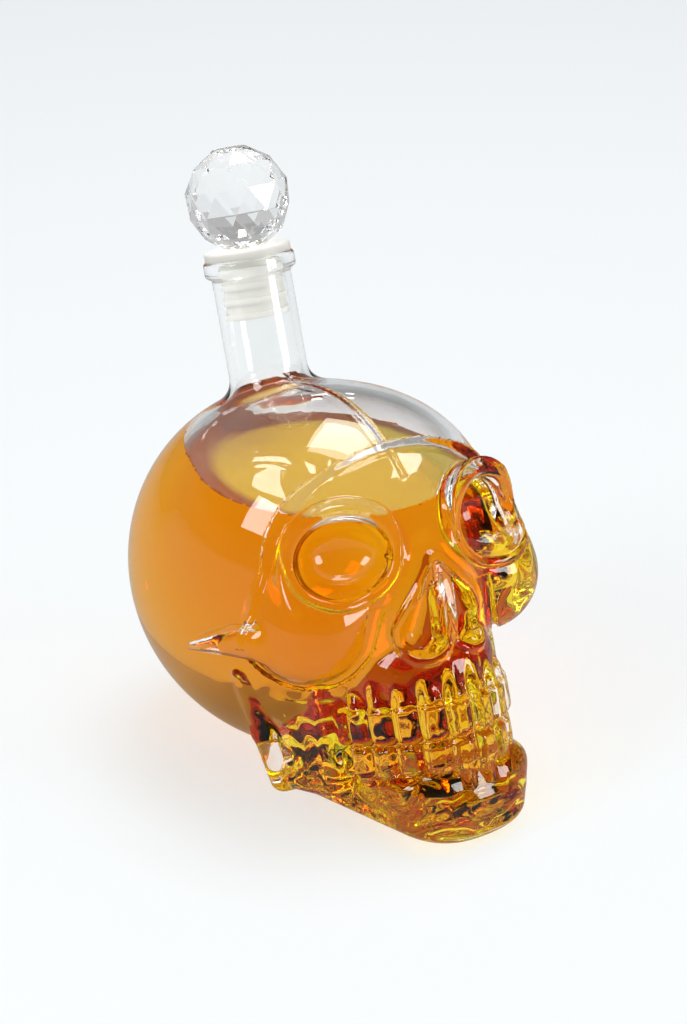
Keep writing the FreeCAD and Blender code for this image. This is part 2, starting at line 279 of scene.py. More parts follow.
def upright(p):
    """A point of the part's frame in the upright skull."""
    y, z = p[:, 1] - CENTRE_SHIFT, p[:, 2] - STAND_HEIGHT
    return np.stack([p[:, 0], y * COS_LEAN - z * SIN_LEAN, y * SIN_LEAN + z * COS_LEAN], 1)


def height_over_floor(p):
    return p[:, 2] * COS_LEAN - p[:, 1] * SIN_LEAN + STAND_HEIGHT


def one_side(p):
    """Both halves of the skull laid on one, since they mirror each other."""
    return np.stack([np.abs(p[:, 0]), p[:, 1], p[:, 2]], 1)


# Ways to put forms together
def melded(a, b, soft):
    """Two forms run together, with a soft crease."""
    h = np.clip(0.5 + 0.5 * (b - a) / soft, 0, 1)
    return b + (a - b) * h - soft * h * (1 - h)


def shared(a, b, soft):
    """What two forms have in common, with a soft edge."""
    return -melded(-a, -b, soft)


def carved(a, b, soft):
    """One form with another cut out of it."""
    return shared(a, -b, soft)


def raised(skin, form, height, soft, meld):
    """A skin that is raised by a height where it runs through a form."""
    return melded(skin, shared(form, skin - height, soft), meld)


# Plain forms
def ellipsoid(p, at, half):
    q = (p - np.array(at)) / np.array(half)
    near = np.linalg.norm(q, axis=1)
    steep = np.linalg.norm(q / np.array(half), axis=1)
    return near * (near - 1) / np.maximum(steep, TINY)


def taper(p, start, end, radii):
    """A rounded bar from one point to another, with a radius at each end."""
    start = np.array(start)
    run = np.array(end) - start
    along = np.clip((p - start) @ run / (run @ run), 0, 1)
    radius = radii[0] + (radii[1] - radii[0]) * along
    return np.linalg.norm(p - start - along[:, None] * run, axis=1) - radius


def block(p, at, half, rounding, turn):
    """A block with rounded edges, turned about the upright axis."""
    q = p - np.array(at)
    c, s = math.cos(turn), math.sin(turn)
    q = np.abs(np.stack([q[:, 0] * c + q[:, 1] * s, q[:, 1] * c - q[:, 0] * s, q[:, 2]], 1))
    q = q - np.array(half) + rounding
    return np.linalg.norm(np.maximum(q, 0), axis=1) + np.minimum(q.max(1), 0) - rounding


# Pieces of the skull
def dome(m):
    """Cranium and forehead."""
    return melded(ellipsoid(m, CRANIUM_AT, CRANIUM), ellipsoid(m, FOREHEAD_AT, FOREHEAD), FOREHEAD_MELD)


def with_seam(m, head):
    """The thin raised line that the mould leaves along the middle of the crown."""
    line = np.maximum(m[:, 0] - SEAM_HALF_WIDTH, np.maximum(SEAM_LOW - m[:, 2], m[:, 1] - SEAM_BACK))
    return raised(head, line, SEAM_HEIGHT, SEAM_SOFT, SEAM_MELD)


def eye_cup(m):
    cup = ellipsoid(m, SOCKET_AT, np.array(BOWL) + CUP_WALL)
    return shared(cup, (m - np.array(SOCKET_AT)) @ FACING, CUP_SOFT)


def eye_bowl(m):
    return ellipsoid(m, np.array(SOCKET_AT) + FACING * BOWL_FORWARD, BOWL)


def face_shield(m):
    """Face, eye cup, cheek and cheek arch, run together."""
    d = melded(ellipsoid(m, FACE_AT, FACE), eye_cup(m), FACE_MELD)
    d = melded(d, ellipsoid(m, CHEEK_AT, CHEEK), FACE_MELD)
    return melded(d, taper(m, ARCH_FRONT, ARCH_BACK, ARCH_RADII), ARCH_MELD)


def behind_mask(m):
    """How far a point lies behind the mask's edge, which sweeps back towards the temples."""
    return (m[:, 1] - MASK_FRONT - MASK_SWEEP * m[:, 0] ** 2) / np.hypot(1, 2 * MASK_SWEEP * m[:, 0])


def with_mask(m, skull, head):
    """The raised mask with its bead, the crease under the cheek and the slit at the temple."""
    shield = face_shield(m)
    behind = behind_mask(m)
    d = melded(skull, shared(head - MASK_STEP, behind, MASK_MELD), MASK_MELD)
    d = melded(d, shield, SHIELD_MELD)
    bead = MASK_BEAD + (TEMPLE_BEAD - MASK_BEAD) * np.clip((m[:, 0] - TEMPLE_FROM) / TEMPLE_RUN, 0, 1)
    d = melded(d, np.maximum(np.hypot(d, behind) - bead, BEAD_LOW - m[:, 2]), BEAD_MELD)
    crease = np.maximum(np.hypot(head, shield) - CREASE_RADIUS, m[:, 2] - CREASE_TOP)
    d = carved(d, crease, CREASE_SOFT)
    return carved(d, taper(m, TEMPLE_SLIT_BACK, TEMPLE_SLIT_FRONT, TEMPLE_SLIT_RADII), CREASE_SOFT)


def gum(p, inset, low):
    """The upright wall under both rows of teeth, along their half ellipse."""
    half = (TEETH_HALF_WIDTH - inset, TEETH_REACH - inset)
    side = ellipsoid(p[:, :2], (0.0, TEETH_CENTRE), half) + GUM_ROUND
    ends = np.abs(p[:, 2] - (low + GUM_HIGH) / 2) - (GUM_HIGH - low) / 2 + GUM_ROUND
    beyond = np.hypot(np.maximum(side, 0), np.maximum(ends, 0))
    return beyond + np.minimum(np.maximum(side, ends), 0) - GUM_ROUND


def jaw(p, inset):
    """The lower jaw: flat flared sides, a front that leans back and a top along the gum."""
    forward = p[:, 1] * COS_LEAN + p[:, 2] * SIN_LEAN
    height = height_over_floor(p)
    run = np.array((CHIN_HALF_WIDTH - JAW_ANGLE_HALF_WIDTH, JAW_BACK - JAW_REACH))
    across, along = run / np.linalg.norm(run)
    side = (forward + JAW_BACK) * across - (p[:, 0] - JAW_ANGLE_HALF_WIDTH) * along
    side = (side - JAW_FLARE * (height - JAW_WIDEST)) / JAW_FLARE_STEEPNESS
    front = (JAW_LEAN * (height - JAW_WIDEST) - (forward + JAW_REACH)) / JAW_LEAN_STEEPNESS
    d = shared(side + inset, front + inset, JAW_CORNER_SOFT)
    d = shared(d, (d + FOOT_INSET - height) / FOOT_STEEPNESS, FOOT_SOFT)
    d = shared(d, forward + JAW_BACK + inset, JAW_BACK_SOFT)
    return shared(d, p[:, 2] - JAW_TOP + inset, JAW_TOP_SOFT)


def ramus(m):
    """The rising branch of the jaw: a rounded back edge and a thinner web in front of it."""
    upper = taper(m, RAMUS_TOP, RAMUS_MIDDLE, RAMUS_RADII[:2])
    lower = taper(m, RAMUS_MIDDLE, RAMUS_FOOT, RAMUS_RADII[1:])
    edge = melded(upper, lower, RAMUS_BEND_SOFT)
    return melded(edge, block(m, RAMUS_WEB_AT, RAMUS_WEB, RAMUS_WEB_ROUND, turn=0), RAMUS_MELD)


def with_jaws(m, skull):
    """Nose ridge, upper jaw, gum, lower jaw, chin and rising branch, run into the face in turn."""
    forms = (
        (ellipsoid(m, NOSE_RIDGE_AT, NOSE_RIDGE), NOSE_RIDGE_MELD),
        (ellipsoid(m, MAXILLA_AT, MAXILLA), MAXILLA_MELD),
        (gum(m, GUM_INSET, GUM_LOW), GUM_MELD),
        (jaw(m, inset=0), JAW_MELD),
        (ellipsoid(m, CHIN_BOSS_AT, CHIN_BOSS), CHIN_MELD),
        (ramus(m), RAMUS_MELD),
    )
    for form, meld in forms:
        skull = melded(skull, form, meld)
    return skull


def with_sockets(m, skull):
    """A rim round each eye, wider and higher at the brow, and the bowl cut into it."""
    bowl = eye_bowl(m)
    over = np.clip((m[:, 2] - SOCKET_AT[2]) / BOWL[2], 0, 1)
    rim = bowl - SOCKET_RIM_WIDTH - BROW_RIM_WIDTH * over
    rim_height = SOCKET_RIM_HEIGHT + BROW_RIM_HEIGHT * over
    skull = raised(skull, rim, rim_height, SOCKET_RIM_SOFT, SOCKET_RIM_SOFT)
    return carved(skull, bowl, BOWL_SOFT)


def nose_pear(m):
    return taper(m, NOSE_TOP, NOSTRIL_AT, NOSE_RADII)


def nostrils(m):
    """The nose's opening, with the septum left standing in it."""
    septum = np.maximum(m[:, 0] - SEPTUM_HALF, SEPTUM_FRONT - m[:, 1])
    return carved(nose_pear(m), septum, SEPTUM_SOFT)


def with_nose(m, skull):
    """A rim round the nose, and the opening cut into it."""
    skull = raised(skull, nose_pear(m) - NOSE_RIM_WIDTH, NOSE_RIM_HEIGHT, NOSE_RIM_SOFT, NOSE_RIM_MELD)
    return carved(skull, nostrils(m), NOSE_SOFT)


def tooth_places():
    """Middle, turn and half width of each tooth of one side, evenly spaced along the arch."""
    t = np.linspace(0, math.pi / 2 * TEETH_RUN_ON, ARCH_POINTS)
    x, y = TEETH_HALF_WIDTH * np.sin(t), TEETH_CENTRE - TEETH_REACH * np.cos(t)
    run = np.concatenate([[0], np.cumsum(np.hypot(np.diff(x), np.diff(y)))])
    width = run[-1] / TEETH_PER_SIDE
    places = []
    for i in range(TEETH_PER_SIDE):
        k = np.searchsorted(run, (i + 0.5) * width)
        turn = math.atan2(math.sin(t[k]) / TEETH_HALF_WIDTH, math.cos(t[k]) / TEETH_REACH)
        places.append((x[k], y[k], turn, width / 2))
    return places


def tooth_crown(p, crown, x, y, turn, half_width):
    at = (x * crown.across_share, y + crown.back, crown.height)
    half = (half_width * crown.width_share, crown.half_depth, crown.half_height)
    return block(p, at, half, crown.rounding, turn)


def tooth_root(p, ends, x, y):
    start, end = [(x * e.across_share, y + e.back, e.height) for e in ends]
    return taper(p, start, end, [e.radius for e in ends])


def with_teeth(m, skull):
    """Both rows of teeth and the flutes of their roots, melded to the jaws."""
    near = (m[:, 2] > TEETH_LOW) & (m[:, 2] < TEETH_HIGH) & (m[:, 1] < TEETH_BACK)
    p = m[near]
    d = skull[near]
    for x, y, turn, half_width in tooth_places():
        for ends in (UPPER_ROOT, LOWER_ROOT):
            d = melded(d, tooth_root(p, ends, x, y), ROOT_MELD)
        for crown in (UPPER_CROWN, LOWER_CROWN):
            d = melded(d, tooth_crown(p, crown, x, y, turn, half_width), CROWN_MELD)
    skull = skull.copy()
    skull[near] = d
    return skull


def from_neck_axis(p):
    return np.hypot(p[:, 0], p[:, 1] - NECK_BACK)


def with_neck(p, skull):
    """The neck, upright in the mould, and its rounded lip."""
    radial = from_neck_axis(p)
    middle, half = (LIP_TOP + NECK_LOW) / 2, (LIP_TOP - NECK_LOW) / 2
    stem = shared(radial - NECK_RADIUS, np.abs(p[:, 2] - middle) - half, NECK_SOFT)
    skull = melded(skull, stem, NECK_MELD)
    band = np.maximum(radial - LIP_RADIUS + LIP_ROUND, 0)
    rise = np.maximum(np.abs(p[:, 2] - LIP_TOP + LIP_BAND / 2) - LIP_BAND / 2 + LIP_ROUND, 0)
    return melded(skull, np.hypot(band, rise) - LIP_ROUND, LIP_MELD)


# The whole skull, its hollow and what fills it
def outside(p):
    """How far a point lies outside the skull's outer skin."""
    m = one_side(p)
    head = dome(m)
    d = with_mask(m, with_seam(m, head), head)
    d = with_sockets(m, with_jaws(m, d))
    d = with_teeth(m, with_nose(m, d))
    return shared(with_neck(p, d), -height_over_floor(p), BASE_SOFT)


def ripple(p):
    """The uneven inside of the thick glass round the jaws, fading upwards and towards the back."""
    x, y, z = (p / RIPPLE_LENGTH).T
    sway, run, drift, weave, climb = RIPPLE_RATES
    waves = np.sin(x + sway * np.sin(z)) * np.sin(run * y + drift * np.sin(weave * x))
    waves = waves + np.sin(climb * z + np.sin(sway * y))
    below = np.clip((RIPPLE_TOP - p[:, 2]) / RIPPLE_TOP_FADE, 0, 1)
    before = np.clip((RIPPLE_BACK - p[:, 1]) / RIPPLE_BACK_FADE, 0, 1)
    return RIPPLE * waves * below * before


def hollow(p):
    """How far a point lies outside the skull's inner skin."""
    m = one_side(p)
    forms = (
        (ellipsoid(m, FOREHEAD_AT, np.array(FOREHEAD) - WALL), FOREHEAD_MELD),
        (ellipsoid(m, FACE_AT, np.array(FACE) - FACE_WALL), HOLLOW_MELD),
        (ellipsoid(m, CHEEK_AT, np.array(CHEEK) - CHEEK_WALL), HOLLOW_MELD),
        (taper(m, ARCH_HOLLOW_FRONT, ARCH_HOLLOW_BACK, ARCH_HOLLOW_RADII), ARCH_MELD),
        (ellipsoid(m, MAXILLA_AT, np.array(MAXILLA) - MAXILLA_WALL), HOLLOW_MELD),
        (gum(m, GUM_WALL, HOLLOW_GUM_LOW), HOLLOW_MELD),
        (jaw(m, JAW_WALL), HOLLOW_MELD),
    )
    d = ellipsoid(m, CRANIUM_AT, np.array(CRANIUM) - WALL)
    for form, meld in forms:
        d = melded(d, form, meld)
    for opening in (eye_bowl(m), nostrils(m)):
        d = carved(d, opening - OPENING_WALL, HOLLOW_OPENING_SOFT)
    d = shared(d, BASE_THICKNESS - height_over_floor(p), BASE_SOFT) + ripple(m)
    bore = np.maximum(from_neck_axis(p) - BORE_RADIUS, BORE_LOW - p[:, 2])
    return melded(d, bore, BORE_MELD)


def glass(p):
    return shared(outside(p), -hollow(p), GLASS_SOFT)


def to_wall(p):
    return hollow(p) - LIQUOR_OVERLAP


def to_level(p):
    return height_over_floor(p) - LIQUOR_LEVEL


def liquor(p):
    return shared(to_wall(p), to_level(p), LIQUOR_SOFT)


# From a field to a mesh
def slope(field, p):
    """The field's gradient."""
    columns = []
    for step in np.eye(3) * SLOPE_REACH:
        columns.append((field(p + step) - field(p - step)) / (2 * SLOPE_REACH))
    return np.stack(columns, 1)


def settled(field, p):
    """Points moved onto the skin of a field."""
    for _ in range(SETTLING_ROUNDS):
        g = slope(field, p)
        move = field(p) / np.maximum((g * g).sum(1), LEAST_SLOPE)
        p = p - g * np.clip(move, -LARGEST_MOVE, LARGEST_MOVE)[:, None]
    return p


def on_edge(first, second, p):
    """Points moved to where two skins meet."""
    for _ in range(SETTLING_ROUNDS):
        a, b = slope(first, p), slope(second, p)
        aa, ab, bb = (a * a).sum(1), (a * b).sum(1), (b * b).sum(1)
        far_a, far_b = first(p), second(p)
        crossing = np.maximum(aa * bb - ab * ab, LEAST_CROSSING)
        along_a = (far_a * bb - far_b * ab) / crossing
        along_b = (far_b * aa - far_a * ab) / crossing
        p = p - a * along_a[:, None] - b * along_b[:, None]
    return p


def on_grid(field, low, high, step):
    """The field on a grid in a box: exact near the skin, and one value per coarse cell elsewhere."""
    counts = np.ceil((high - low) / step / STRIDE).astype(int) * STRIDE
    middles = [low[i] + step * (np.arange(0, counts[i], STRIDE) + (STRIDE - 1) / 2) for i in range(3)]
    coarse = field(np.stack(np.meshgrid(*middles, indexing="ij"), -1).reshape(-1, 3))
    coarse = coarse.reshape([len(m) for m in middles])
    values = coarse.repeat(STRIDE, 0).repeat(STRIDE, 1).repeat(STRIDE, 2)
    near = np.argwhere(np.abs(values) < STRIDE * step * NEAR_SKIN_SHARE)
    values[tuple(near.T)] = field(low + step * near)
    return values


def cut_cells(solid):
    """The grid's cells that the skin cuts, each by its lowest corner."""
    last = np.array(solid.shape) - 1
    filled = np.zeros(last, np.int8)
    for i, j, k in CELL_CORNERS:
        filled += solid[i:last[0] + i, j:last[1] + j, k:last[2] + k]
    return np.argwhere((filled > 0) & (filled < len(CELL_CORNERS)))


def cell_points(values, cells):
    """A point in each cell, in steps of the grid: the middle of where the skin cuts the cell's edges."""
    at = np.stack([values[tuple((cells + c).T)] for c in CELL_CORNERS], 1)
    middle = np.zeros((len(cells), 3))
    crossings = np.zeros(len(cells))
    for a, b in itertools.combinations(range(len(CELL_CORNERS)), 2):
        edge = CELL_CORNERS[b] - CELL_CORNERS[a]
        if np.abs(edge).sum() == 1:
            cross = (at[:, a] < 0) != (at[:, b] < 0)
            share = at[cross, a] / (at[cross, a] - at[cross, b])
            middle[cross] += CELL_CORNERS[a] + share[:, None] * edge
            crossings[cross] += 1
    return cells + middle / crossings[:, None]


def quads_round_edges(solid, cells):
    """A quad round each of the grid's edges that the skin cuts, between the points of four cells."""
    number = np.full(solid.shape, -1)
    number[tuple(cells.T)] = np.arange(len(cells))
    last = np.array(solid.shape) - 1
    quads = []
    units = np.eye(3, dtype=int)
    for axis in range(3):
        along, u, v = units[axis], units[(axis + 1) % 3], units[(axis + 2) % 3]
        start, stop = along + 1, along + last
        following = solid[start[0]:stop[0], start[1]:stop[1], start[2]:stop[2]]
        edge = np.argwhere(solid[1:-1, 1:-1, 1:-1] != following) + 1
        ring = np.stack([number[tuple((edge - back).T)] for back in (u * 0, u, u + v, v)], 1)
        leaving = solid[tuple(edge.T)]
        quads.append(ring[leaving])
        quads.append(ring[~leaving][:, ::-1])
    return np.concatenate(quads)


def skinned(field, low, high, step):
    """The skin where a field is zero, as points and quads."""
    low, high = np.array(low), np.array(high)
    values = on_grid(field, low, high, step)
    solid = values < 0
    cells = cut_cells(solid)
    return low + step * cell_points(values, cells), quads_round_edges(solid, cells)


def thinned(name, points, quads, kept):
    """A piece made of quads, with fewer faces where it is smooth."""
    mesh = bpy.data.meshes.new(name)
    mesh.from_pydata(points.tolist(), [], quads.tolist())
    piece = bpy.data.objects.new(name, mesh)
    bpy.context.scene.collection.objects.link(piece)
    bpy.context.view_layer.objects.active = piece
    piece.modifiers.new("thin", "DECIMATE").ratio = kept
    bpy.ops.object.modifier_apply(modifier="thin")
    return piece


def moulded(name, field, step, kept, edge):
    """A closed piece with the skin of a field, standing in the part's frame.

    Points near the line where the two edge fields are zero are moved onto it, so that the line is clean.
    """
    points, quads = skinned(field, SKULL_LOW, SKULL_HIGH, step)
    piece = thinned(name, points, quads, kept)
    mesh = piece.data
    points = np.empty(len(mesh.vertices) * 3)
    mesh.vertices.foreach_get("co", points)
    points = settled(field, points.reshape(-1, 3))
    from_edge = np.maximum(np.abs(edge[0](points)), np.abs(edge[1](points)))
    near = from_edge < NEAR_EDGE_SHARE * step
    points[near] = on_edge(*edge, points[near])
    facing = slope(field, points)
    facing = leaned_direction(facing / np.linalg.norm(facing, axis=1, keepdims=True))
    mesh.vertices.foreach_set("co", (leaned(points) * MM).ravel())
    mesh.update()
    mesh.polygons.foreach_set("use_smooth", [True] * len(mesh.polygons))
    mesh.normals_split_custom_set_from_vertices(facing.tolist())
    mesh.calc_loop_triangles()
    print(name, len(points), "points", len(mesh.loop_triangles), "triangles")
    return piece


glass_skull = moulded("glass_skull", glass, GLASS_STEP, GLASS_KEPT, (hollow, to_level))
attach(glass_skull, "decanter")
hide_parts("glass_body", "glass_neck")

amber_fill = moulded("amber_fill", liquor, LIQUOR_STEP, LIQUOR_KEPT, (to_wall, to_level))
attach(amber_fill, "decanter")
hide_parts("liquor")

# Finishes: linear colours, and lengths in metres
LAMP_TINT_OF_GLASS = (0.86, 0.86, 0.86)
LAMP_TINT_OF_LIQUOR = (1.0, 0.94, 0.66)
LAMP_TINT_OF_CRYSTAL = (0.95, 0.95, 0.95)
AMBER_LET_THROUGH = (0.952, 0.64, 0.05)
AMBER_DENSITY = 36.0
# The share of the liquor's surface that is not clear shows a pale yellow that the lamps light: painted
# light that brightens the surface.
SURFACE_CLARITY = 0.68
# Where the surface's painted light stays pale, and the brown painted shade that it turns to towards the
# wall.
PAINTED_GLOW_AT = (0.0, -0.0005)
PAINTED_GLOW_REACH = (0.033, 0.0385)
PAINTED_GLOW_EDGE = (0.93, 1.02)
PAINTED_SHADE_AT_WALL = (0.4, 0.12, 0.004)
MOTTLE_DETAIL = 1.5
BUMP_DEPTH = 0.0004


def new_material(name):
    material = bpy.data.materials.new(name)
    material.use_nodes = True
    nodes = material.node_tree.nodes
    return material, nodes, material.node_tree.links, nodes["Principled BSDF"]


def unevenness():
    """A node group: a soft mottle over the object, as a mask and as a slightly wavy normal."""
    group = bpy.data.node_groups.new("unevenness", "ShaderNodeTree")
    sockets = group.interface
    for name in ("Scale", "Waviness", "Depth"):
        sockets.new_socket(name, in_out="INPUT", socket_type="NodeSocketFloat")
    sockets.new_socket("Mask", in_out="OUTPUT", socket_type="NodeSocketFloat")
    sockets.new_socket("Normal", in_out="OUTPUT", socket_type="NodeSocketVector")
    nodes, links = group.nodes, group.links
    given = nodes.new("NodeGroupInput")
    result = nodes.new("NodeGroupOutput")
    place = nodes.new("ShaderNodeTexCoord")
    noise = nodes.new("ShaderNodeTexNoise")
    noise.inputs["Detail"].default_value = MOTTLE_DETAIL
    bump = nodes.new("ShaderNodeBump")
    links.new(place.outputs["Object"], noise.inputs["Vector"])
    links.new(given.outputs["Scale"], noise.inputs["Scale"])
    links.new(noise.outputs["Fac"], bump.inputs["Height"])
    links.new(given.outputs["Waviness"], bump.inputs["Strength"])
    links.new(given.outputs["Depth"], bump.inputs["Distance"])
    links.new(noise.outputs["Fac"], result.inputs["Mask"])
    links.new(bump.outputs["Normal"], result.inputs["Normal"])
    return group


UNEVENNESS = unevenness()


def uneven(nodes, links, shader, scale, waviness, low, high, rough):
    """Mottles a shader's colour between two colours and its roughness between two values."""
    group = nodes.new("ShaderNodeGroup")
    group.node_tree = UNEVENNESS
    group.inputs["Scale"].default_value = scale
    group.inputs["Waviness"].default_value = waviness
    group.inputs["Depth"].default_value = BUMP_DEPTH
    colour = nodes.new("ShaderNodeMix")
    colour.data_type = "RGBA"
    colour.inputs["A"].default_value = (*low, 1)
    colour.inputs["B"].default_value = (*high, 1)
    finish = nodes.new("ShaderNodeMapRange")
    finish.inputs["To Min"].default_value, finish.inputs["To Max"].default_value = rough
    links.new(group.outputs["Mask"], colour.inputs["Factor"])
    links.new(group.outputs["Mask"], finish.inputs["Value"])
    links.new(colour.outputs["Result"], shader.inputs["Base Color"])
    links.new(finish.outputs["Result"], shader.inputs["Roughness"])
    links.new(group.outputs["Normal"], shader.inputs["Normal"])


def lets_lamps_through(nodes, links, shader, tint):
    """Shadow rays pass a clear piece, with only a tint, so lamps reach what is inside and behind it."""
    path = nodes.new("ShaderNodeLightPath")
    clear = nodes.new("ShaderNodeBsdfTransparent")
    clear.inputs["Color"].default_value = (*tint, 1)
    mix = nodes.new("ShaderNodeMixShader")
    links.new(path.outputs["Is Shadow Ray"], mix.inputs["Fac"])
    links.new(shader.outputs["BSDF"], mix.inputs[1])
    links.new(clear.outputs["BSDF"], mix.inputs[2])
    links.new(mix.outputs["Shader"], nodes["Material Output"].inputs["Surface"])


def clear_glass(name, ior):
    material, nodes, links, shader = new_material(name)
    shader.inputs["IOR"].default_value = ior
    shader.inputs["Transmission Weight"].default_value = 1.0
    low, high = (0.975, 0.985, 0.98), (0.995, 1.0, 0.998)
    uneven(nodes, links, shader, scale=90.0, waviness=0.12, low=low, high=high, rough=(0.0, 0.004))
    lets_lamps_through(nodes, links, shader, LAMP_TINT_OF_GLASS)
    return material


def amber_liquor(name, ior, clarity, low, high):
    material, nodes, links, shader = new_material(name)
    shader.inputs["IOR"].default_value = ior
    shader.inputs["Transmission Weight"].default_value = clarity
    uneven(nodes, links, shader, scale=40.0, waviness=0.03, low=low, high=high, rough=(0.0, 0.002))
    absorb = nodes.new("ShaderNodeVolumeAbsorption")
    absorb.inputs["Color"].default_value = (*AMBER_LET_THROUGH, 1)
    absorb.inputs["Density"].default_value = AMBER_DENSITY
    links.new(absorb.outputs["Volume"], nodes["Material Output"].inputs["Volume"])
    lets_lamps_through(nodes, links, shader, LAMP_TINT_OF_LIQUOR)
    return material


def amber_surface():
    """The liquor's surface: its pale yellow is painted light, and it turns brown towards the wall as
    painted shade.
    """
    # Pale yellow: painted light on the liquor's surface.
    low, high = (0.86, 0.67, 0.03), (0.92, 0.75, 0.06)
    material = amber_liquor("amber_surface", LIQUOR_IOR, SURFACE_CLARITY, low, high)
    nodes, links = material.node_tree.nodes, material.node_tree.links
    shader = nodes["Principled BSDF"]
    place = nodes.new("ShaderNodeTexCoord")
    inward = nodes.new("ShaderNodeVectorMath")
    inward.operation = "SUBTRACT"
    inward.inputs[1].default_value = (*PAINTED_GLOW_AT, LIQUOR_LEVEL * MM)
    reach = nodes.new("ShaderNodeVectorMath")
    reach.operation = "MULTIPLY"
    reach.inputs[1].default_value = (1 / PAINTED_GLOW_REACH[0], 1 / PAINTED_GLOW_REACH[1], 0)
    far = nodes.new("ShaderNodeVectorMath")
    far.operation = "LENGTH"
    # The pale painted light gives way to brown painted shade towards the wall.
    edge = nodes.new("ShaderNodeMapRange")
    edge.inputs["From Min"].default_value, edge.inputs["From Max"].default_value = PAINTED_GLOW_EDGE
    painted_light_mix = nodes.new("ShaderNodeMix")
    painted_light_mix.data_type = "RGBA"
    painted_light_mix.inputs["B"].default_value = (*PAINTED_SHADE_AT_WALL, 1)
    pale = shader.inputs["Base Color"].links[0].from_socket
    links.new(place.outputs["Object"], inward.inputs[0])
    links.new(inward.outputs["Vector"], reach.inputs[0])
    links.new(reach.outputs["Vector"], far.inputs[0])
    links.new(far.outputs["Value"], edge.inputs["Value"])
    links.new(edge.outputs["Result"], painted_light_mix.inputs["Factor"])
    links.new(pale, painted_light_mix.inputs["A"])
    links.new(painted_light_mix.outputs["Result"], shader.inputs["Base Color"])
    return material


def amber_at_wall():
    """The liquor against the glass: the wetted glass bends the light there, so this skin only tints it."""
    low, high = (0.975, 0.87, 0.04), (0.985, 0.9, 0.06)
    return amber_liquor("amber_at_wall", ior=1.0, clarity=1.0, low=low, high=high)


def milky_plastic():
    material, nodes, links, shader = new_material("milky_plastic")
    shader.inputs["IOR"].default_value = 1.5
    shader.inputs["Subsurface Weight"].default_value = 0.7
    shader.inputs["Subsurface Radius"].default_value = (1.0, 0.95, 0.85)
    shader.inputs["Subsurface Scale"].default_value = 0.004
    low, high = (0.74, 0.735, 0.69), (0.79, 0.785, 0.75)
    uneven(nodes, links, shader, scale=120.0, waviness=0.1, low=low, high=high, rough=(0.3, 0.5))
    return material


def cut_crystal():
    material, nodes, links, shader = new_material("cut_crystal")
    shader.inputs["IOR"].default_value = 1.54
    shader.inputs["Transmission Weight"].default_value = 1.0
    low, high = (0.985, 0.99, 0.99), (1.0, 1.0, 1.0)
    uneven(nodes, links, shader, scale=60.0, waviness=0.04, low=low, high=high, rough=(0.0, 0.003))
    lets_lamps_through(nodes, links, shader, LAMP_TINT_OF_CRYSTAL)
    return material


def dress(piece, *materials):
    piece.data.materials.clear()
    for material in materials:
        piece.data.materials.append(material)


def by_place(piece, finish):
    """Each face takes the finish that a rule gives for its middle, a point of the upright skull."""
    middle = np.empty(len(piece.data.polygons) * 3)
    piece.data.polygons.foreach_get("center", middle)
    chosen = finish(upright(middle.reshape(-1, 3) / MM))
    piece.data.polygons.foreach_set("material_index", chosen.astype(np.int32))


def dry_or_wet(p):
    return (np.abs(hollow(p)) < INNER_SKIN) & (to_level(p) < 0)


def surface_or_wall(p):
    return hollow(p) > -WALL_SKIN


dry_glass = clear_glass("clear_moulded_glass", GLASS_IOR)
wetted_glass = clear_glass("wetted_glass", GLASS_IOR / LIQUOR_IOR)
dress(glass_skull, dry_glass, wetted_glass)
by_place(glass_skull, dry_or_wet)
dress(amber_fill, amber_surface(), amber_at_wall())
by_place(amber_fill, surface_or_wall)
for node, finish in (("stopper_sleeve", milky_plastic()), ("stopper_ball", cut_crystal())):
    for slot in frame["nodes"][node].material_slots:
        slot.material = finish

# Studio, in metres: a white table, softboxes, two small windows and a dim room
TABLE_SIZE = 4.0
TABLE_GAP = 0.0004
TABLE_GLOW = 0.55
TABLE_GLOW_COLOUR = (0.93, 0.98, 1.0)
TABLE_MIRRORED = 0.1
ROOM_LIGHT = 0.45
ROOM_BAND = 0.16
ROOM_BAND_TOP = 0.08
ROOM_DIM = 0.06
ROOM_DIM_FROM = 0.32
ROOM_THROUGH_GLASS = 0.57
DARK_DOORWAY = (0.522, 0.745, 0.415)
DOORWAY_EDGE = (0.84, 0.94)
DOORWAY_LIGHT = 0.36
LAMPS_AIM = (0.0, 0.0, 0.07)


def grey(value):
    return (value, value, value, 1)


def seen_or_mirrored(nodes, links, mirrored):
    """1 for what the camera or a look through glass meets, less in a mirror, 0 for light on its way."""
    path = nodes.new("ShaderNodeLightPath")
    dimmed = nodes.new("ShaderNodeMath")
    dimmed.operation = "MULTIPLY"
    dimmed.inputs[1].default_value = mirrored
    either = nodes.new("ShaderNodeMath")
    total = nodes.new("ShaderNodeMath")
    total.use_clamp = True
    links.new(path.outputs["Is Glossy Ray"], dimmed.inputs[0])
    links.new(path.outputs["Is Camera Ray"], either.inputs[0])
    links.new(dimmed.outputs["Value"], either.inputs[1])
    links.new(either.outputs["Value"], total.inputs[0])
    links.new(path.outputs["Is Transmission Ray"], total.inputs[1])
    return total.outputs["Value"]


def table_paper():
    """White paper: part of its brightness is lit by the lamps and takes shadows, the rest is its own."""
    material, nodes, links, shader = new_material("table_paper")
    shader.inputs["Specular IOR Level"].default_value = 0.1
    shader.inputs["Emission Color"].default_value = (*TABLE_GLOW_COLOUR, 1)
    low, high = (0.35, 0.36, 0.365), (0.38, 0.385, 0.39)
    uneven(nodes, links, shader, scale=1.2, waviness=0.0, low=low, high=high, rough=(0.5, 0.6))
    glow = nodes.new("ShaderNodeMath")
    glow.operation = "MULTIPLY"
    glow.inputs[1].default_value = TABLE_GLOW
    links.new(seen_or_mirrored(nodes, links, TABLE_MIRRORED), glow.inputs[0])
    links.new(glow.outputs["Value"], shader.inputs["Emission Strength"])
    return material


